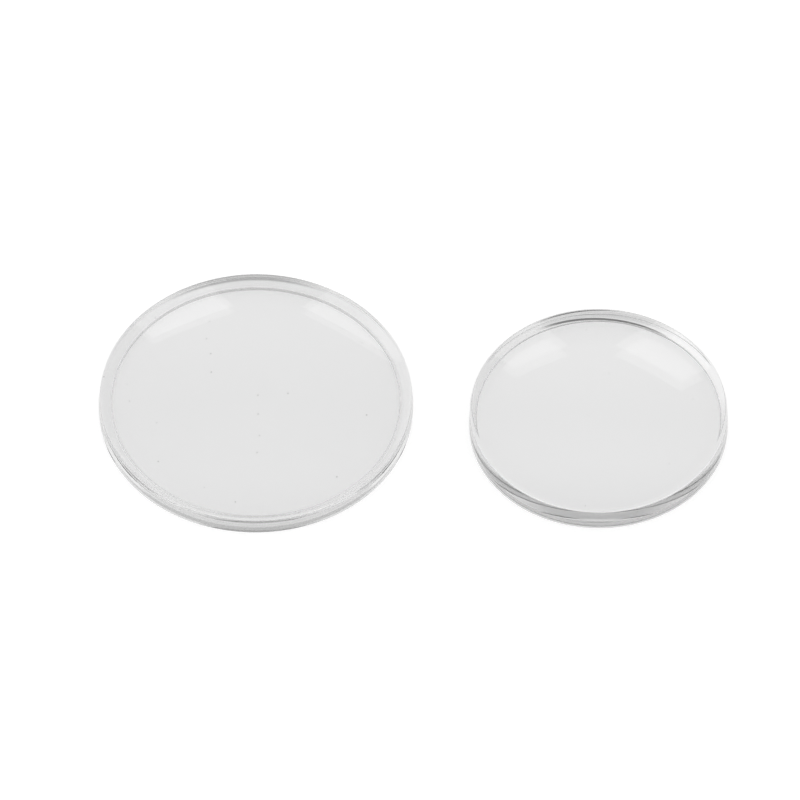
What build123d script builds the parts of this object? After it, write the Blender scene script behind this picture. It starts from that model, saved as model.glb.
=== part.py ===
from build123d import *
import math
import os

# Two watch crystals, one large and one small, each a single clear moulded piece.
# Lengths are in millimetres and +Z is up. Both lie on the foot of their rim with the dome up.
# The origin is on the surface that they lie on, at the middle of the space that they take.
# Each crystal is a domed pane of even thickness that turns over a rounded shoulder
# into a short tapered rim, so that a shallow recess is left under the pane.

# How the two lie beside each other
rim_gap = 6.2
small_forward = 2.44

# Large crystal, with the thinner pane
large_diameter = 35.0
large_dome_rise = 1.25
large_pane = 1.95
large_recess_wall = 0.58
large_rim_wall = 1.52
large_land = 0.95
large_taper = 0.15
large_shoulder_radius = 0.4
large_recess_radius = 0.15
large_foot_radius = 0.2

# Small crystal, with the thicker pane and the rounder dome
small_diameter = 28.8
small_dome_rise = 1.27
small_pane = 2.9
small_recess_wall = 0.3
small_rim_wall = 0.93
small_land = 0.75
small_taper = 0.1
small_shoulder_radius = 0.5
small_recess_radius = 0.15
small_foot_radius = 0.12


def sphere_over(base_radius, rise):
    """Radius of the sphere that stands on a circle and rises above it by the given amount."""
    return (base_radius**2 + rise**2) / (2 * rise)


def nearest_corner(sketch, r, z):
    """Corner of the section that lies nearest to a point at radius r and height z."""
    return sketch.vertices().sort_by_distance((r, z))[0]


def crystal(diameter, dome_rise, pane, recess_wall, rim_wall, land, taper, shoulder, recess, foot):
    """One crystal, turned about its own axis from its half section.

    The rim stands straight over the land, where a bezel grips it, and then leans in by the
    taper. The two faces of the pane are parts of spheres with one centre, so that it
    is equally thick all over. The height follows from the wall of the recess, the rise of
    the recess's ceiling and the pane.
    """
    outer = diameter / 2
    top = outer - taper
    inner = outer - rim_wall
    sphere = sphere_over(top, dome_rise)
    ceiling = sphere - pane
    ceiling_rise = ceiling - math.sqrt(ceiling**2 - inner**2)
    height = recess_wall + ceiling_rise + pane
    edge_z = height - dome_rise
    centre_z = height - sphere
    outer_angle = math.degrees(math.acos(top / sphere))
    inner_angle = math.degrees(math.acos(inner / ceiling))
    with BuildSketch(Plane.XZ) as section:
        with BuildLine():
            Polyline((inner, 0), (outer, 0), (outer, land), (top, edge_z))
            CenterArc((0, centre_z), sphere, outer_angle, 90 - outer_angle)
            Line((0, height), (0, height - pane))
            CenterArc((0, centre_z), ceiling, inner_angle, 90 - inner_angle)
            Line((inner, recess_wall), (inner, 0))
        make_face()
        fillet(nearest_corner(section, top, edge_z), shoulder)
        fillet(nearest_corner(section, inner, recess_wall), recess)
        fillet(nearest_corner(section, outer, 0), foot)
    return revolve(section.sketch, Axis.Z)


def large_crystal():
    """The large crystal, at the left end of the set."""
    body = crystal(
        large_diameter,
        large_dome_rise,
        large_pane,
        large_recess_wall,
        large_rim_wall,
        large_land,
        large_taper,
        large_shoulder_radius,
        large_recess_radius,
        large_foot_radius,
    )
    return Pos(-(rim_gap + small_diameter) / 2, 0, 0) * body


def small_crystal():
    """The small crystal, at the right end of the set and a little nearer the front."""
    body = crystal(
        small_diameter,
        small_dome_rise,
        small_pane,
        small_recess_wall,
        small_rim_wall,
        small_land,
        small_taper,
        small_shoulder_radius,
        small_recess_radius,
        small_foot_radius,
    )
    return Pos((rim_gap + large_diameter) / 2, -small_forward, 0) * body


os.makedirs("parts", exist_ok=True)
for name, make in {"large_crystal": large_crystal, "small_crystal": small_crystal}.items():
    export_step(make(), f"parts/{name}.step")
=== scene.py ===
"""Looks of two clear watch crystals that lie dome up on a pale table, beside each other."""

import logging
import math
from dataclasses import dataclass, field
from enum import Enum

import bpy
import numpy as np
from mathutils import Matrix, Vector


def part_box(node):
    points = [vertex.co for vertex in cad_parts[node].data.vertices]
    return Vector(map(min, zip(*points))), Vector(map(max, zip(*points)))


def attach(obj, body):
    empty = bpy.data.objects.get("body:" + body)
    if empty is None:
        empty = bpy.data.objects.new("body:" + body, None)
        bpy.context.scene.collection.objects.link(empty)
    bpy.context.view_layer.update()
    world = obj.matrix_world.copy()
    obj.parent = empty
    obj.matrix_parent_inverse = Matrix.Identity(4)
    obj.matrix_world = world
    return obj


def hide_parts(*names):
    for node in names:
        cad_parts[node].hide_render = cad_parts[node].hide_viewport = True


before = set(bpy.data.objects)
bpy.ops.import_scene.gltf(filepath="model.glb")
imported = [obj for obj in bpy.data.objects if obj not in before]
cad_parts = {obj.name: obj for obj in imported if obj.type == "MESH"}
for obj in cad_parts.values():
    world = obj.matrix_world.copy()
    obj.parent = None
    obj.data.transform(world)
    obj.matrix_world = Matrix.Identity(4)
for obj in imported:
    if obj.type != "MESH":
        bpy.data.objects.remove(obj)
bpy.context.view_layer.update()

MM = 0.001
HALF_TURN_DEG = 180.0
log = logging.getLogger("watch_crystals")


class Zone(Enum):
    """Stretches of a crystal's section, in the order in which the section is walked."""

    DOME = 0
    SHOULDER = 1
    TAPER = 2
    LAND = 3
    FOOT_EDGE = 4
    FOOT = 5
    RECESS_WALL = 6
    RECESS_CORNER = 7
    CEILING = 8


class Coat(Enum):
    """Which of a crystal's finishes a stretch has, as the place of its material."""

    PANE = 0
    RIM = 1
    FOOT = 2
    RECESS = 3


class Side(Enum):
    """Side of the table that a lamp stands on."""

    LEFT = "left"
    RIGHT = "right"


# Stretches that aren't named here have the finish of the pane
COATS = {
    Zone.TAPER: Coat.RIM,
    Zone.LAND: Coat.RIM,
    Zone.FOOT_EDGE: Coat.RIM,
    Zone.FOOT: Coat.FOOT,
    Zone.RECESS_WALL: Coat.RECESS,
    Zone.RECESS_CORNER: Coat.RECESS,
}


def grey(level: float) -> tuple[float, float, float]:
    """An even grey, as red, green and blue."""
    return (level, level, level)


def at(radius: float, height: float) -> np.ndarray:
    """A point of a section, from its radius and height."""
    return np.array([radius, height])


@dataclass(frozen=True)
class Stretch:
    """One stretch of a section: points and outward normals in the plane of radius and height."""

    zone: Zone
    points: np.ndarray
    normals: np.ndarray

    @property
    def coats(self) -> np.ndarray:
        """The place of the finish of each piece between two points."""
        return np.full(len(self.points) - 1, COATS.get(self.zone, Coat.PANE).value)


@dataclass(frozen=True)
class Section:
    """Half section of a crystal. All sizes are in millimetres.

    The pane lies between two spheres with one centre. The rim stands straight over the land
    and leans in above it by the taper. The foot lies at height zero.
    """

    dome_rise: float
    pane: float
    recess_wall: float
    rim_wall: float
    land: float
    taper: float
    shoulder: float
    recess_corner: float
    foot_edge: float
    dome_steps: int = 9
    round_steps: int = 8

    def arc(self, zone: Zone, centre: np.ndarray, radius: float, start: float, end: float,
            inward: bool = False) -> Stretch:
        """Arc of a circle, as centre plus radius times the cosine and sine of its angle.

        Args:
            zone: Stretch of the section that the arc is.
            centre: Radius and height of the arc's centre.
            radius: Radius of the arc.
            start: First angle in radians, from straight outwards.
            end: Last angle in radians.
            inward: Whether the clear material lies outside the circle.

        Returns:
            The stretch, with its normals pointing out of the material.
        """
        steps = self.dome_steps if zone in (Zone.DOME, Zone.CEILING) else self.round_steps
        angle = np.linspace(start, end, steps + 1)
        ray = np.stack([np.cos(angle), np.sin(angle)], axis=1)
        return Stretch(zone, centre + radius * ray, -ray if inward else ray)

    def line(self, zone: Zone, first: np.ndarray, last: np.ndarray) -> Stretch:
        """Straight stretch from one point to another, with its normal to the left of the walk.

        Args:
            zone: Stretch of the section that the line is.
            first: Radius and height of its first point.
            last: Radius and height of its last point.

        Returns:
            The stretch, in one piece.
        """
        along = (last - first) / np.linalg.norm(last - first)
        normal = at(-along[1], along[0])
        return Stretch(zone, np.stack([first, last]), np.stack([normal, normal]))

    def stretches(self, outer: float) -> list[Stretch]:
        """All stretches of the section, from the top of the dome round the rim to the ceiling.

        Args:
            outer: Radius of the rim at its land.

        Returns:
            The stretches in order, each starting where the one before ends.
        """
        top = outer - self.taper
        inner = outer - self.rim_wall
        sphere = (top**2 + self.dome_rise**2) / (2 * self.dome_rise)
        ceiling = sphere - self.pane
        height = self.recess_wall + ceiling - math.sqrt(ceiling**2 - inner**2) + self.pane
        middle = at(0.0, height - sphere)
        edge_z = height - self.dome_rise

        # The shoulder's centre lies one shoulder radius inside both the leaning side and the dome
        lean = at(top - outer, edge_z - self.land)
        lean = lean / np.linalg.norm(lean)
        inside = at(-lean[1], lean[0])
        base = at(outer, self.land) + self.shoulder * inside - middle
        half = base @ lean
        run = -half + math.sqrt(half**2 - base @ base + (sphere - self.shoulder)**2)
        shoulder_centre = middle + base + run * lean
        side_angle = math.atan2(-inside[1], -inside[0])
        dome_angle = math.atan2(shoulder_centre[1] - middle[1], shoulder_centre[0])
        side_end = shoulder_centre - self.shoulder * inside

        # The recess corner's centre lies one corner radius inside the wall and under the ceiling
        corner_r = inner - self.recess_corner
        corner_z = middle[1] + math.sqrt((ceiling - self.recess_corner)**2 - corner_r**2)
        corner_angle = math.atan2(corner_z - middle[1], corner_r)
        corner_centre = at(corner_r, corner_z)

        quarter = math.pi / 2
        foot_r = outer - self.foot_edge
        foot_centre = at(foot_r, self.foot_edge)
        return [
            self.arc(Zone.DOME, middle, sphere, quarter, dome_angle),
            self.arc(Zone.SHOULDER, shoulder_centre, self.shoulder, dome_angle, side_angle),
            self.line(Zone.TAPER, side_end, at(outer, self.land)),
            self.line(Zone.LAND, at(outer, self.land), at(outer, self.foot_edge)),
            self.arc(Zone.FOOT_EDGE, foot_centre, self.foot_edge, 0.0, -quarter),
            self.line(Zone.FOOT, at(foot_r, 0.0), at(inner, 0.0)),
            self.line(Zone.RECESS_WALL, at(inner, 0.0), at(inner, corner_z)),
            self.arc(Zone.RECESS_CORNER, corner_centre, self.recess_corner, 0.0, corner_angle,
                     inward=True),
            self.arc(Zone.CEILING, middle, ceiling, corner_angle, quarter, inward=True),
        ]


@dataclass(frozen=True)
class Turning:
    """A surface of revolution, worked out as whole arrays from a section and a ring of angles."""

    around: int = 2160

    def mesh(self, name: str, stretches: list[Stretch],
             axis: tuple[float, float]) -> bpy.types.Mesh:
        """Mesh of a section carried round an upright axis.

        Args:
            name: Name of the mesh.
            stretches: The section, in millimetres, from the axis back to the axis.
            axis: X and Y of the axis, in metres.

        Returns:
            The closed mesh, whose faces are numbered by their finish.
        """
        points = np.concatenate([stretches[0].points[:1]] + [s.points[1:] for s in stretches])
        starts = np.concatenate([s.normals[:-1] for s in stretches])
        ends = np.concatenate([s.normals[1:] for s in stretches])
        coats = np.concatenate([s.coats for s in stretches]).astype(np.int32)
        angle = np.arange(self.around) * (2 * math.pi / self.around)
        ring = np.stack([np.cos(angle), np.sin(angle)], axis=1)
        vertices = self.vertices(points, ring, axis)
        loops, sizes = self.faces(len(points) - 1)

        mesh = bpy.data.meshes.new(name)
        mesh.vertices.add(len(vertices))
        mesh.vertices.foreach_set("co", vertices.ravel())
        mesh.loops.add(len(loops))
        mesh.loops.foreach_set("vertex_index", loops)
        mesh.polygons.add(len(sizes))
        mesh.polygons.foreach_set("loop_start", np.cumsum(sizes, dtype=np.int32) - sizes)
        mesh.polygons.foreach_set("use_smooth", np.ones(len(sizes), dtype=bool))
        mesh.update(calc_edges=True)
        mesh.polygons.foreach_set("material_index", np.repeat(coats, self.around))
        mesh.normals_split_custom_set(self.corner_normals(starts, ends, ring).tolist())
        return mesh

    def vertices(self, points: np.ndarray, ring: np.ndarray,
                 axis: tuple[float, float]) -> np.ndarray:
        """Points of the surface: r cos a, r sin a and z from the axis.

        Here r and z are the radius and height of a point of the section, and a is the angle.

        Args:
            points: The section, in millimetres, from the axis back to the axis.
            ring: Cosine and sine of each angle.
            axis: X and Y of the axis, in metres.

        Returns:
            The rings from the top round to the underside, then the upper and the lower pole.
        """
        rows = points[1:-1]
        grid = np.empty((len(rows), self.around, 3))
        grid[:, :, :2] = rows[:, None, :1] * ring[None, :, :] * MM + np.array(axis)
        grid[:, :, 2] = rows[:, None, 1] * MM
        poles = np.array([[*axis, points[0, 1] * MM], [*axis, points[-1, 1] * MM]])
        return np.concatenate([grid.reshape(-1, 3), poles])

    def faces(self, rows: int) -> tuple[np.ndarray, np.ndarray]:
        """Faces of the surface: triangles round each pole and rows of four-sided faces between.

        Args:
            rows: How many rows of faces there are, the triangles among them.

        Returns:
            The vertices of all faces, one face after the other, and how many each face has.
        """
        here = np.arange(self.around)
        after = (here + 1) % self.around
        row = np.arange(rows - 2)[:, None] * self.around
        last = (rows - 2) * self.around
        top_pole = np.full(self.around, last + self.around)
        cap = np.stack([top_pole, here, after], axis=1)
        quads = np.stack([row + here, row + self.around + here,
                          row + self.around + after, row + after], axis=2)
        bottom = np.stack([last + here, top_pole + 1, last + after], axis=1)
        loops = np.concatenate([cap.ravel(), quads.ravel(), bottom.ravel()])
        sizes = np.concatenate([np.full(len(cap), 3), np.full(quads.size // 4, 4),
                                np.full(len(bottom), 3)])
        return loops.astype(np.int32), sizes.astype(np.int32)

    def corner_normals(self, starts: np.ndarray, ends: np.ndarray,
                       ring: np.ndarray) -> np.ndarray:
        """Normal of every face corner, in the order of the mesh's corners.

        Each corner keeps the section's own normal, turned to the corner's angle, so that round
        stretches bend light smoothly and the corner under the rim stays sharp.

        Args:
            starts: Section normal at the start of each row of faces, as radius and height.
            ends: Section normal at the end of each row.
            ring: Cosine and sine of each angle.

        Returns:
            One normal for each corner.
        """
        start, end = self.turned(starts, ring), self.turned(ends, ring)
        next_start, next_end = np.roll(start, -1, axis=1), np.roll(end, -1, axis=1)
        cap = np.stack([start[0], end[0], next_end[0]], axis=1)
        middle = np.stack([start[1:-1], end[1:-1], next_end[1:-1], next_start[1:-1]], axis=2)
        under = np.stack([start[-1], end[-1], next_start[-1]], axis=1)
        return np.concatenate([part.reshape(-1, 3) for part in (cap, middle, under)])

    @staticmethod
    def turned(normals: np.ndarray, ring: np.ndarray) -> np.ndarray:
        """Section normals turned to each angle, as n cos a, n sin a and the height's share.

        Args:
            normals: Section normals, each with its share n along the radius, then the height's.
            ring: Cosine and sine of each angle a.

        Returns:
            The normals by row, angle and axis.
        """
        flat = normals[:, None, :1] * ring[None, :, :]
        up = np.broadcast_to(normals[:, None, 1:], (len(normals), len(ring), 1))
        return np.concatenate([flat, up], axis=2)


class NodeSheet:
    """Small helper that adds and links shader nodes in one tree."""

    def __init__(self, tree: bpy.types.NodeTree) -> None:
        """Starts on the tree that the nodes go into."""
        self.tree = tree

    def add(self, kind: str, **values: object) -> bpy.types.Node:
        """A new node.

        Args:
            kind: Blender's name of the node type.
            **values: Settings of the node, by their names in Blender.

        Returns:
            The node.
        """
        node = self.tree.nodes.new(kind)
        for key, value in values.items():
            setattr(node, key, value)
        return node

    def link(self, source: bpy.types.NodeSocket, target: bpy.types.NodeSocket) -> None:
        """Joins an output to an input."""
        self.tree.links.new(source, target)

    def math(self, operation: str, first: object, second: object = None) -> bpy.types.NodeSocket:
        """A sum or comparison of one or two values.

        Args:
            operation: Blender's name of the operation.
            first: A socket or a number.
            second: A socket, a number or nothing.

        Returns:
            The result's socket.
        """
        node = self.add("ShaderNodeMath", operation=operation)
        for index, value in enumerate((first, second)):
            if isinstance(value, bpy.types.NodeSocket):
                self.link(value, node.inputs[index])
            elif value is not None:
                node.inputs[index].default_value = value
        return node.outputs[0]

    def span(self, value: bpy.types.NodeSocket, old: tuple[float, float],
             new: tuple[float, float]) -> bpy.types.NodeSocket:
        """A value carried smoothly from one span to another, and held at the new span's ends.

        Args:
            value: The value's socket.
            old: Start and end of the old span.
            new: Start and end of the new span.

        Returns:
            The new value's socket.
        """
        node = self.add("ShaderNodeMapRange", interpolation_type="SMOOTHSTEP")
        self.link(value, node.inputs["Value"])
        for key, number in zip(("From Min", "From Max", "To Min", "To Max"), (*old, *new)):
            node.inputs[key].default_value = number
        return node.outputs["Result"]

    def mixed(self, share: bpy.types.NodeSocket, first: tuple[float, float, float],
              second: tuple[float, float, float]) -> bpy.types.NodeSocket:
        """A mix of two colours.

        Args:
            share: The share of the second colour.
            first: Red, green and blue of the first colour.
            second: Red, green and blue of the second colour.

        Returns:
            The colour's socket.
        """
        node = self.add("ShaderNodeMix", data_type="RGBA")
        node.inputs["A"].default_value = (*first, 1.0)
        node.inputs["B"].default_value = (*second, 1.0)
        self.link(share, node.inputs["Factor"])
        return node.outputs["Result"]


@dataclass(frozen=True)
class HandlingMarks:
    """Node group for the dust specks and hairlines that a loose crystal picks up.

    The group puts out a mask of specks, a mask of hairlines and a height of moulding ripple. All
    of them come from positions on the piece, in metres. A speck is full out to its core and gone
    at its edge, both as shares of the speck size.
    """

    name: str = "handling marks"
    speck_core: float = 0.5
    speck_edge: float = 1.1
    speck_share: float = 0.28
    faintest_speck: float = 0.2
    darkest_speck: float = 0.8
    specks_above: float = 0.002
    hairline_heading_deg: float = 9.0
    hairline_stretch: float = 0.12
    hairline_scale: float = 420.0
    hairline_detail: float = 1.0
    patch_scale: float = 160.0
    patch: tuple[float, float] = (0.6, 0.68)
    ripple_detail: float = 2.0

    def tree(self) -> bpy.types.NodeTree:
        """The group, built once and used by every finish.

        Returns:
            The group's node tree.
        """
        known = bpy.data.node_groups.get(self.name)
        if known is not None:
            return known
        tree = bpy.data.node_groups.new(self.name, "ShaderNodeTree")
        tree.interface.new_socket("Position", in_out="INPUT", socket_type="NodeSocketVector")
        for name in ("Speck Size", "Speck Spacing", "Hairline Width", "Ripple Length"):
            tree.interface.new_socket(name, in_out="INPUT", socket_type="NodeSocketFloat")
        for name in ("Specks", "Hairlines", "Ripple"):
            tree.interface.new_socket(name, in_out="OUTPUT", socket_type="NodeSocketFloat")
        sheet = NodeSheet(tree)
        given = sheet.add("NodeGroupInput")
        result = sheet.add("NodeGroupOutput")
        self.specks(sheet, given, result)
        self.hairlines(sheet, given, result)
        self.ripple(sheet, given, result)
        return tree

    def specks(self, sheet: NodeSheet, given: bpy.types.Node, result: bpy.types.Node) -> None:
        """Specks: some cells of a flat Voronoi pattern, seen from above, hold a dot at their point.

        Only what stands high enough over the table has dots, and that is the upper faces.

        Args:
            sheet: The group's nodes.
            given: The group's inputs.
            result: The group's outputs.
        """
        cells = sheet.add("ShaderNodeTexVoronoi", feature="F1", voronoi_dimensions="2D")
        scale = sheet.math("DIVIDE", 1.0, given.outputs["Speck Spacing"])
        sheet.link(given.outputs["Position"], cells.inputs["Vector"])
        sheet.link(scale, cells.inputs["Scale"])
        reach = sheet.math("MULTIPLY", cells.outputs["Distance"], given.outputs["Speck Spacing"])
        share = sheet.math("DIVIDE", reach, given.outputs["Speck Size"])
        dot = sheet.span(share, (self.speck_core, self.speck_edge), (1.0, 0.0))
        parts = sheet.add("ShaderNodeSeparateColor")
        sheet.link(cells.outputs["Color"], parts.inputs[0])
        chosen = sheet.math("LESS_THAN", parts.outputs["Red"], self.speck_share)
        weight = sheet.span(parts.outputs["Green"], (0.0, 1.0),
                            (self.faintest_speck, self.darkest_speck))
        place = sheet.add("ShaderNodeSeparateXYZ")
        sheet.link(given.outputs["Position"], place.inputs[0])
        upper = sheet.math("GREATER_THAN", place.outputs["Z"], self.specks_above)
        shown = sheet.math("MULTIPLY", sheet.math("MULTIPLY", dot, chosen), upper)
        sheet.link(sheet.math("MULTIPLY", shown, weight), result.inputs["Specks"])

    def hairlines(self, sheet: NodeSheet, given: bpy.types.Node, result: bpy.types.Node) -> None:
        """Hairlines: thin level lines of a long drawn-out noise, kept only in a few patches.

        Args:
            sheet: The group's nodes.
            given: The group's inputs.
            result: The group's outputs.
        """
        drawn = sheet.add("ShaderNodeMapping")
        drawn.inputs["Rotation"].default_value = (0.0, 0.0, math.radians(self.hairline_heading_deg))
        drawn.inputs["Scale"].default_value = (1.0, self.hairline_stretch, 1.0)
        sheet.link(given.outputs["Position"], drawn.inputs["Vector"])
        noise = sheet.add("ShaderNodeTexNoise")
        noise.inputs["Scale"].default_value = self.hairline_scale
        noise.inputs["Detail"].default_value = self.hairline_detail
        sheet.link(drawn.outputs["Vector"], noise.inputs["Vector"])
        off = sheet.math("ABSOLUTE", sheet.math("SUBTRACT", noise.outputs["Fac"], 0.5))
        width = sheet.math("DIVIDE", off, given.outputs["Hairline Width"])
        line = sheet.span(width, (0.0, 1.0), (1.0, 0.0))
        patch = sheet.add("ShaderNodeTexNoise")
        patch.inputs["Scale"].default_value = self.patch_scale
        sheet.link(given.outputs["Position"], patch.inputs["Vector"])
        kept = sheet.span(patch.outputs["Fac"], self.patch, (0.0, 1.0))
        sheet.link(sheet.math("MULTIPLY", line, kept), result.inputs["Hairlines"])

    def ripple(self, sheet: NodeSheet, given: bpy.types.Node, result: bpy.types.Node) -> None:
        """Ripple: a soft noise, as flow in the mould leaves it.

        Args:
            sheet: The group's nodes.
            given: The group's inputs.
            result: The group's outputs.
        """
        wave = sheet.add("ShaderNodeTexNoise")
        wave.inputs["Detail"].default_value = self.ripple_detail
        scale = sheet.math("DIVIDE", 1.0, given.outputs["Ripple Length"])
        sheet.link(given.outputs["Position"], wave.inputs["Vector"])
        sheet.link(scale, wave.inputs["Scale"])
        sheet.link(wave.outputs["Fac"], result.inputs["Ripple"])


@dataclass(frozen=True)
class ClearFinish:
    """Clear moulded plastic with a little dust and wear, either polished or faintly frosted.

    The absorption is how strongly the inside takes up light, per metre. The two shades are what
    a shadow keeps where light meets the surface squarely and where it grazes it.
    """

    name: str
    absorption: float
    # The tint colours the clear plastic; the recess finishes darken it as painted shade
    tint: tuple[float, float, float] = grey(0.945)
    dust_tint: tuple[float, float, float] = (0.34, 0.34, 0.33)
    ior: float = 1.49
    roughness: float = 0.0
    speck_size: float = 0.00011
    speck_spacing: float = 0.0029
    hairline_width: float = 0.0035
    hairline_dirt: float = 0.06
    ripple_length: float = 0.004
    ripple_depth: float = 0.000004
    ripple_strength: float = 0.25
    shade: tuple[float, float, float] = grey(0.96)
    edge_shade: tuple[float, float, float] = grey(0.90)
    edge_starts: float = 0.35

    def material(self) -> bpy.types.Material:
        """The finish as a Blender material.

        Camera, mirrored and refracted rays meet the true glass. Shadow rays and scattered rays
        pass straight through and lose a little, more where they graze the surface, because glass
        would otherwise stop the lamps' light.

        Returns:
            The material.
        """
        material = bpy.data.materials.new(self.name)
        material.use_nodes = True
        sheet = NodeSheet(material.node_tree)
        glass = material.node_tree.nodes["Principled BSDF"]
        output = material.node_tree.nodes["Material Output"]
        glass.inputs["Transmission Weight"].default_value = 1.0
        glass.inputs["Metallic"].default_value = 0.0
        glass.inputs["Roughness"].default_value = self.roughness
        glass.inputs["IOR"].default_value = self.ior
        self.dress(sheet, glass)

        through = sheet.add("ShaderNodeBsdfTransparent")
        facing = sheet.add("ShaderNodeLayerWeight")
        facing.inputs["Blend"].default_value = 0.5
        grazing = sheet.span(facing.outputs["Facing"], (self.edge_starts, 1.0), (0.0, 1.0))
        sheet.link(sheet.mixed(grazing, self.shade, self.edge_shade), through.inputs["Color"])

        path = sheet.add("ShaderNodeLightPath")
        soft = sheet.math("MAXIMUM", path.outputs["Is Shadow Ray"], path.outputs["Is Diffuse Ray"])
        mix = sheet.add("ShaderNodeMixShader")
        sheet.link(soft, mix.inputs["Fac"])
        sheet.link(glass.outputs["BSDF"], mix.inputs[1])
        sheet.link(through.outputs["BSDF"], mix.inputs[2])
        sheet.link(mix.outputs["Shader"], output.inputs["Surface"])

        body = sheet.add("ShaderNodeVolumeAbsorption")
        body.inputs["Color"].default_value = (*grey(0.0), 1.0)
        body.inputs["Density"].default_value = self.absorption
        sheet.link(body.outputs["Volume"], output.inputs["Volume"])
        return material

    def dress(self, sheet: NodeSheet, glass: bpy.types.Node) -> None:
        """Feeds the marks into the glass.

        Args:
            sheet: The material's nodes.
            glass: The Principled node.
        """
        place = sheet.add("ShaderNodeTexCoord")
        marks = sheet.add("ShaderNodeGroup", node_tree=HandlingMarks().tree())
        sheet.link(place.outputs["Object"], marks.inputs["Position"])
        marks.inputs["Speck Size"].default_value = self.speck_size
        marks.inputs["Speck Spacing"].default_value = self.speck_spacing
        marks.inputs["Hairline Width"].default_value = self.hairline_width
        marks.inputs["Ripple Length"].default_value = self.ripple_length

        lines = sheet.math("MULTIPLY", marks.outputs["Hairlines"], self.hairline_dirt)
        dirt = sheet.math("MAXIMUM", marks.outputs["Specks"], lines)
        sheet.link(sheet.mixed(dirt, self.tint, self.dust_tint), glass.inputs["Base Color"])

        bump = sheet.add("ShaderNodeBump")
        bump.inputs["Strength"].default_value = self.ripple_strength
        bump.inputs["Distance"].default_value = self.ripple_depth
        sheet.link(marks.outputs["Ripple"], bump.inputs["Height"])
        sheet.link(bump.outputs["Normal"], glass.inputs["Normal"])


@dataclass
class Crystal:
    """One crystal: its section, its finishes and the CAD node that it stands for."""

    node: str
    slot: str
    section: Section
    finishes: dict[Coat, ClearFinish]
    turning: Turning = field(default_factory=Turning)

    def build(self) -> bpy.types.Object:
        """Turns the section round the CAD node's own axis and dresses it.

        Returns:
            The finished piece, riding on the root body.
        """
        low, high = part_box(self.node)
        axis = ((low[0] + high[0]) / 2, (low[1] + high[1]) / 2)
        outer = (high[0] - low[0]) / 2 / MM
        name = f"{self.node}_clear"
        mesh = self.turning.mesh(name, self.section.stretches(outer), axis)
        piece = bpy.data.objects.new(name, mesh)
        bpy.context.scene.collection.objects.link(piece)
        for coat in Coat:
            mesh.materials.append(self.finishes[coat].material())
        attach(piece, "root")
        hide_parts(self.node)
        log.info("%s: %d faces, radius %.2f mm", name, len(mesh.polygons), outer)
        return piece


@dataclass(frozen=True)
class PhotoCamera:
    """The photograph's view, as a focal length in pixels and a point of the table."""

    focal_px: float = 19000.0
    image_px: float = 800.0
    sensor_mm: float = 36.0
    elevation_deg: float = 52.04
    distance: float = 2.116
    aim: tuple[float, float, float] = (-0.00147, 0.00122, 0.0)
    clip: tuple[float, float] = (0.01, 50.0)

    def build(self) -> bpy.types.Object:
        """Sets the camera back from the aim, along the line of sight.

        Returns:
            The camera, which is the scene's own.
        """
        data = bpy.data.cameras.new("photo camera")
        data.sensor_width = self.sensor_mm
        data.lens = self.focal_px / self.image_px * self.sensor_mm
        data.clip_start, data.clip_end = self.clip
        tilt = math.radians(self.elevation_deg)
        sight = Vector((0.0, math.cos(tilt), -math.sin(tilt)))
        camera = bpy.data.objects.new("photo camera", data)
        camera.location = Vector(self.aim) - sight * self.distance
        camera.rotation_euler = sight.to_track_quat("-Z", "Y").to_euler()
        bpy.context.scene.collection.objects.link(camera)
        bpy.context.scene.camera = camera
        log.info("camera: %.1f mm lens, %.1f degrees above the table", data.lens,
                 self.elevation_deg)
        return camera


@dataclass(frozen=True)
class PaintedRimShade:
    """Painted shade on the table under a crystal's far side, standing in for the shade that its rim
    bends there.

    Sizes are in millimetres, and angles in degrees from straight away from the camera to the
    right. The shade's middle lies aside of the crystal's axis. The shade fades in between the two
    radii of its start and out between the two of its end. A depth below zero paints light onto
    the table instead, standing in for light that the rim gathers.
    """

    node: str
    starts: tuple[float, float]
    ends: tuple[float, float]
    around: float
    half_width: float
    blur: float
    depth: float
    aside: float = 0.0

    def level(self, sheet: NodeSheet, place: bpy.types.NodeSocket) -> bpy.types.NodeSocket:
        """What share of its light the table keeps, below one for painted shade and above one for
        painted light.

        The shade is a ring between two radii, times the share by which the direction from its
        middle comes near to the shade's own direction.

        Args:
            sheet: The nodes of the table's material.
            place: The point on the table.

        Returns:
            The share's socket.
        """
        low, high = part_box(self.node)
        parts = sheet.add("ShaderNodeSeparateXYZ")
        sheet.link(place, parts.inputs[0])
        across = sheet.math("SUBTRACT", parts.outputs["X"],
                            (low[0] + high[0]) / 2 + self.aside * MM)
        away = sheet.math("SUBTRACT", parts.outputs["Y"], (low[1] + high[1]) / 2)
        squares = sheet.math("ADD", sheet.math("MULTIPLY", across, across),
                             sheet.math("MULTIPLY", away, away))
        radius = sheet.math("SQRT", squares)
        angle = sheet.math("MULTIPLY", sheet.math("ARCTAN2", across, away),
                           HALF_TURN_DEG / math.pi)
        off = sheet.math("ABSOLUTE", sheet.math("SUBTRACT", angle, self.around))
        near = sheet.span(off, (self.half_width - self.blur, self.half_width + self.blur),
                          (1.0, 0.0))
        inner = sheet.span(radius, (self.starts[0] * MM, self.starts[1] * MM), (0.0, 1.0))
        outer = sheet.span(radius, (self.ends[0] * MM, self.ends[1] * MM), (self.depth, 0.0))
        shade = sheet.math("MULTIPLY", sheet.math("MULTIPLY", inner, outer), near)
        return sheet.math("SUBTRACT", 1.0, shade)


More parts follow.
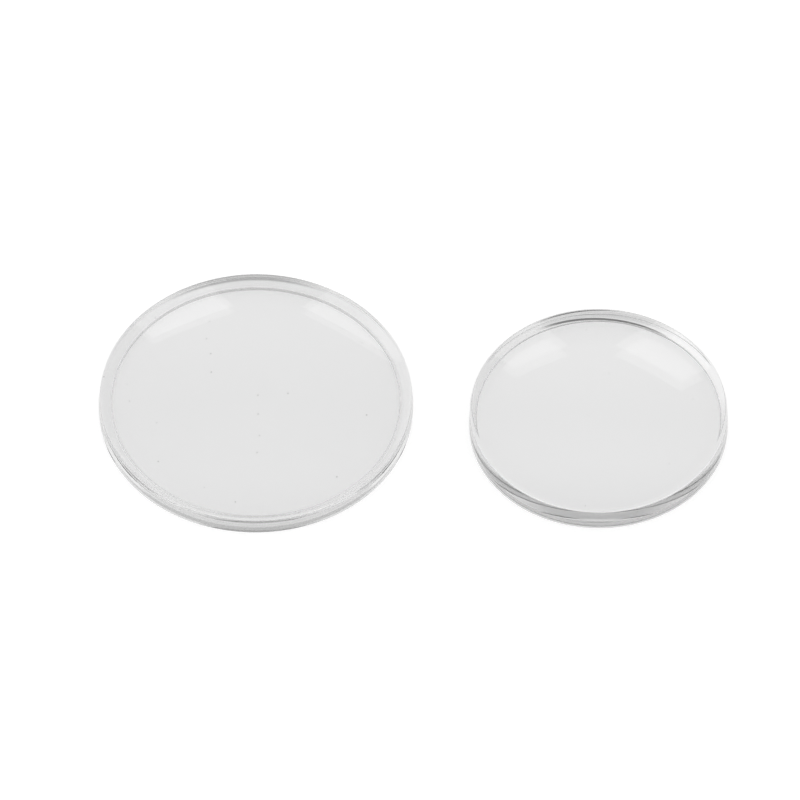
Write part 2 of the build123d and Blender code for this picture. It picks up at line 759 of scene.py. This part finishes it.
@dataclass(frozen=True)
class Table:
    """Plain pale table. Seen by the camera, in mirrorings and through glass, it is white, apart
    from the painted shade and painted light under the crystals' rims.
    """

    shades: tuple[PaintedRimShade, ...]
    half_width: float = 6.0
    under_feet: float = 0.00001
    matt_level: float = 0.8
    lift: float = 0.295
    direct_lift: float = 0.14

    def build(self) -> bpy.types.Object:
        """Lays the table just under the feet.

        Returns:
            The table.
        """
        reach, level = self.half_width, -self.under_feet
        corners = [(-reach, -reach, level), (reach, -reach, level),
                   (reach, reach, level), (-reach, reach, level)]
        mesh = bpy.data.meshes.new("table")
        mesh.from_pydata(corners, [], [(0, 1, 2, 3)])
        table = bpy.data.objects.new("table", mesh)
        bpy.context.scene.collection.objects.link(table)
        mesh.materials.append(self.material())
        log.info("table: %.1f m wide", 2 * reach)
        return table

    def material(self) -> bpy.types.Material:
        """Matt grey that scatters as it is, with a plain glow added for the rays that see it. Both
        are scaled by the painted shade and painted light under the rims.

        Returns:
            The material.
        """
        material = bpy.data.materials.new("pale table")
        material.use_nodes = True
        sheet = NodeSheet(material.node_tree)
        material.node_tree.nodes.remove(material.node_tree.nodes["Principled BSDF"])
        output = material.node_tree.nodes["Material Output"]
        place = sheet.add("ShaderNodeTexCoord").outputs["Object"]
        # Share of light the table keeps under the painted rim shade and painted rim light
        kept = self.shades[0].level(sheet, place)
        for shade in self.shades[1:]:
            kept = sheet.math("MULTIPLY", kept, shade.level(sheet, place))

        matt = sheet.add("ShaderNodeBsdfDiffuse")
        level = sheet.math("MULTIPLY", kept, self.matt_level)
        colour = sheet.add("ShaderNodeCombineColor")
        for socket in colour.inputs:
            sheet.link(level, socket)
        sheet.link(colour.outputs["Color"], matt.inputs["Color"])

        path = sheet.add("ShaderNodeLightPath")
        seen = sheet.math("MAXIMUM", path.outputs["Is Camera Ray"], path.outputs["Is Glossy Ray"])
        seen = sheet.math("MAXIMUM", seen, path.outputs["Is Transmission Ray"])
        lifted = sheet.math("MULTIPLY", sheet.math("MULTIPLY", seen, self.lift), kept)
        direct = sheet.math("MULTIPLY", path.outputs["Is Camera Ray"], self.direct_lift)
        glow = sheet.add("ShaderNodeEmission")
        sheet.link(sheet.math("ADD", lifted, direct), glow.inputs["Strength"])

        both = sheet.add("ShaderNodeAddShader")
        sheet.link(matt.outputs["BSDF"], both.inputs[0])
        sheet.link(glow.outputs["Emission"], both.inputs[1])
        sheet.link(both.outputs["Shader"], output.inputs["Surface"])
        return material


@dataclass(frozen=True)
class Heading:
    """A direction from the table: degrees round from the far side to the right, and degrees up."""

    around: float
    up: float

    def vector(self) -> Vector:
        """The direction as a vector of length one."""
        around, up = math.radians(self.around), math.radians(self.up)
        level = math.cos(up)
        return Vector((math.sin(around) * level, math.cos(around) * level, math.sin(up)))


@dataclass(frozen=True)
class SoftLamp:
    """A soft lamp behind the table, hung by the directions of its upper left and right corners."""

    side: Side
    left: Heading
    right: Heading
    distance: float = 3.0
    height: float = 0.5
    radiance: float = 0.85

    def build(self) -> bpy.types.Object:
        """Hangs the lamp below the line between its two corners, turned towards the crystals.

        Returns:
            The lamp.
        """
        name = f"soft lamp {self.side.value}"
        first = self.left.vector() * self.distance
        last = self.right.vector() * self.distance
        edge = last - first
        inward = -(first + last).normalized()
        along = edge.normalized()
        upward = inward.cross(along).normalized()
        centre = (first + last) / 2 - upward * (self.height / 2)
        data = bpy.data.lights.new(name, "AREA")
        data.shape = "RECTANGLE"
        data.size = edge.length
        data.size_y = self.height
        data.energy = self.radiance * math.pi * data.size * data.size_y
        lamp = bpy.data.objects.new(name, data)
        turn = Matrix((-along, upward, -inward)).transposed()
        lamp.matrix_world = Matrix.Translation(centre) @ turn.to_4x4()
        bpy.context.scene.collection.objects.link(lamp)
        log.info("%s: %.2f W", name, data.energy)
        return lamp


@dataclass(frozen=True)
class Room:
    """Light from all round.

    There is a strength for each angle in degrees, from the far horizon over the top to the near
    one. Towards the left and right ends the strengths give way to one even level.
    """

    strengths: tuple[tuple[float, float], ...] = (
        (0.0, 1.0), (20.0, 1.0), (42.0, 0.96), (53.0, 0.66), (63.0, 0.74), (80.0, 0.1),
        (100.0, 0.28), (130.0, 0.57), (160.0, 0.15), (180.0, 0.29))
    brightest: float = 1.5
    side_level: float = 1.0
    side_span: tuple[float, float] = (0.12, 0.45)

    def build(self) -> bpy.types.World:
        """Makes the room's light. The camera itself sees plain white.

        Returns:
            The world.
        """
        world = bpy.data.worlds.new("room")
        bpy.context.scene.world = world
        world.use_nodes = True
        sheet = NodeSheet(world.node_tree)
        background = world.node_tree.nodes["Background"]
        place = sheet.add("ShaderNodeTexCoord")
        parts = sheet.add("ShaderNodeSeparateXYZ")
        sheet.link(place.outputs["Generated"], parts.inputs[0])
        height = sheet.math("MAXIMUM", parts.outputs["Z"], 0.0)
        angle = sheet.math("ARCTAN2", height, parts.outputs["Y"])
        bands = sheet.math("MULTIPLY", self.ramp(sheet, angle), self.brightest)
        sideways = sheet.span(sheet.math("ABSOLUTE", parts.outputs["X"]), self.side_span,
                              (0.0, 1.0))
        kept = sheet.math("MULTIPLY", bands, sheet.math("SUBTRACT", 1.0, sideways))
        level = sheet.math("ADD", kept, sheet.math("MULTIPLY", sideways, self.side_level))
        path = sheet.add("ShaderNodeLightPath")
        strength = sheet.math("MAXIMUM", level, path.outputs["Is Camera Ray"])
        sheet.link(strength, background.inputs["Strength"])
        background.inputs["Color"].default_value = (*grey(1.0), 1.0)
        log.info("room light: %d strengths", len(self.strengths))
        return world

    def ramp(self, sheet: NodeSheet, angle: bpy.types.NodeSocket) -> bpy.types.NodeSocket:
        """The strength at an angle, as a share of the brightest, straight between the given ones.

        Args:
            sheet: The world's nodes.
            angle: The angle in radians.

        Returns:
            The share's socket.
        """
        node = sheet.add("ShaderNodeValToRGB")
        sheet.link(sheet.math("DIVIDE", angle, math.pi), node.inputs["Fac"])
        stops = node.color_ramp.elements
        for index, (degrees, strength) in enumerate(self.strengths):
            place = degrees / HALF_TURN_DEG
            stop = stops[index] if index < 2 else stops.new(place)
            stop.position = place
            stop.color = (*grey(strength / self.brightest), 1.0)
        return node.outputs["Color"]


@dataclass(frozen=True)
class InnerBounces:
    """How often light may be mirrored inside the clear plastic before it is given up."""

    mirrored: int = 24
    through: int = 24
    total: int = 32

    def build(self) -> None:
        """Lets light that is caught in a rim find its way out."""
        cycles = bpy.context.scene.cycles
        cycles.glossy_bounces = self.mirrored
        cycles.transmission_bounces = self.through
        cycles.max_bounces = self.total
        log.info("up to %d bounces", self.total)


# A foot lets all shadow light through, because it lies on the table and would darken it twice
NO_SHADE = grey(1.0)
LARGE_ABSORPTION = 1.5
SMALL_ABSORPTION = 7.0

LARGE = Crystal(
    node="large_crystal",
    slot="clear_large",
    section=Section(dome_rise=1.25, pane=1.95, recess_wall=0.58, rim_wall=1.52, land=0.95,
                    taper=0.15, shoulder=0.4, recess_corner=0.15, foot_edge=0.2),
    finishes={
        Coat.PANE: ClearFinish("clear large pane", LARGE_ABSORPTION, tint=grey(0.893)),
        Coat.RIM: ClearFinish("clear large rim", LARGE_ABSORPTION, tint=grey(0.865),
                              roughness=0.03),
        Coat.FOOT: ClearFinish("clear large foot", LARGE_ABSORPTION, shade=NO_SHADE,
                               edge_shade=NO_SHADE),
        # The recess wall and corner are tinted darker than the pane as painted shade for the ring
        # there
        Coat.RECESS: ClearFinish("clear large recess painted shade", LARGE_ABSORPTION, tint=grey(0.80)),
    },
)

SMALL = Crystal(
    node="small_crystal",
    slot="clear_small",
    section=Section(dome_rise=1.27, pane=2.9, recess_wall=0.3, rim_wall=0.93, land=0.75,
                    taper=0.1, shoulder=0.5, recess_corner=0.15, foot_edge=0.12),
    finishes={
        Coat.PANE: ClearFinish("clear small pane", SMALL_ABSORPTION, tint=grey(0.942),
                               speck_size=0.00009, speck_spacing=0.0031),
        Coat.RIM: ClearFinish("clear small rim", SMALL_ABSORPTION, tint=grey(0.865),
                              roughness=0.03, speck_size=0.00009, speck_spacing=0.0031),
        Coat.FOOT: ClearFinish("clear small foot", SMALL_ABSORPTION, shade=NO_SHADE,
                               edge_shade=NO_SHADE),
        # The recess wall and corner are tinted much darker than the pane as painted shade for the
        # dark ring there
        Coat.RECESS: ClearFinish("clear small recess painted shade", SMALL_ABSORPTION, tint=grey(0.55)),
    },
)

# Each crystal has a painted shade on the table under its far rim and painted light on the table
# # under its right side. The small one's painted shade has a dark inner part and a faint outer one.
PAINTED_RIM_SHADES = (
    PaintedRimShade("large_crystal", starts=(17.05, 17.32), ends=(17.5, 17.6), around=-5.0,
             half_width=24.0, blur=10.0, depth=0.36),
    PaintedRimShade("large_crystal", starts=(16.1, 16.4), ends=(17.45, 17.55), around=82.0,
             half_width=35.0, blur=15.0, depth=-0.06),
    PaintedRimShade("small_crystal", starts=(13.52, 13.68), ends=(13.86, 13.95), around=5.0,
             half_width=27.0, blur=7.0, depth=0.76, aside=-0.35),
    PaintedRimShade("small_crystal", starts=(13.95, 14.05), ends=(14.32, 14.4), around=5.0,
             half_width=27.0, blur=7.0, depth=0.12),
    PaintedRimShade("small_crystal", starts=(13.3, 13.6), ends=(14.35, 14.45), around=58.0,
             half_width=30.0, blur=14.0, depth=-0.19),
)

LAMPS = (
    SoftLamp(Side.LEFT, left=Heading(-12.9, 43.0), right=Heading(-3.4, 40.0)),
    SoftLamp(Side.RIGHT, left=Heading(3.8, 40.0), right=Heading(16.3, 45.3)),
)


def main() -> None:
    """Builds the camera, the stage, the light and the two crystals, in that order."""
    logging.basicConfig(level=logging.INFO, format="%(name)s: %(message)s")
    bpy.context.scene.view_settings.view_transform = "Standard"
    PhotoCamera().build()
    InnerBounces().build()
    Table(PAINTED_RIM_SHADES).build()
    Room().build()
    for lamp in LAMPS:
        lamp.build()
    for crystal in (LARGE, SMALL):
        crystal.build()


if __name__ == "__main__":
    main()
